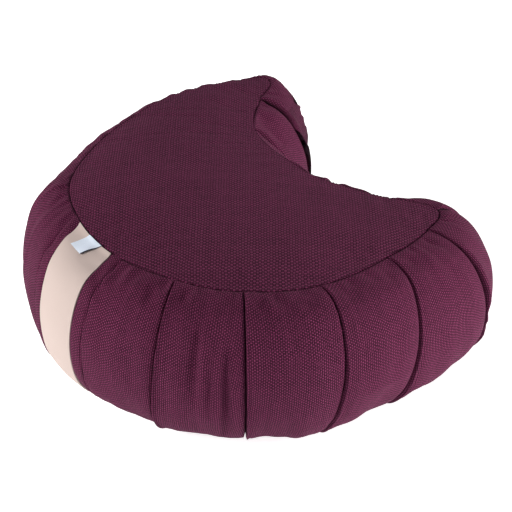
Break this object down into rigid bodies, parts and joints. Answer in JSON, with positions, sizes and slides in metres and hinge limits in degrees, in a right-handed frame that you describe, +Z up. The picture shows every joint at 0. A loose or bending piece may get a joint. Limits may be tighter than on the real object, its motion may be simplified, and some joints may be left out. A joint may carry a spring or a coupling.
{
  "type": "crescent zafu meditation cushion",
  "caption": "Crescent-shaped filled meditation cushion with a pleated canvas side band, plain top and base panels, a pale inset strip and a small bare folded tag.",
  "frame": {"origin": "centre of the base, on the surface that the cushion stands on", "axes": "+Z up; +X along the cushion's length, from horn to horn; +Y from the rounded side with the pale strip towards the bay between the horns"},
  "size_m": [0.4298, 0.3622, 0.1628],
  "materials": {
    "plum_canvas": "matt basket-weave cotton canvas",
    "plum_canvas_top": "matt basket-weave cotton canvas",
    "plum_canvas_base": "matt basket-weave cotton canvas",
    "cream_twill": "smooth fine cotton twill",
    "white_ribbon": "smooth woven ribbon"
  },
  "bodies": {
    "root": {"pleated_band_and_fill": "plum_canvas", "top_panel": "plum_canvas_top", "base_panel": "plum_canvas_base", "inset_strip": "cream_twill", "folded_tag": "white_ribbon"}
  },
  "joints": []
}
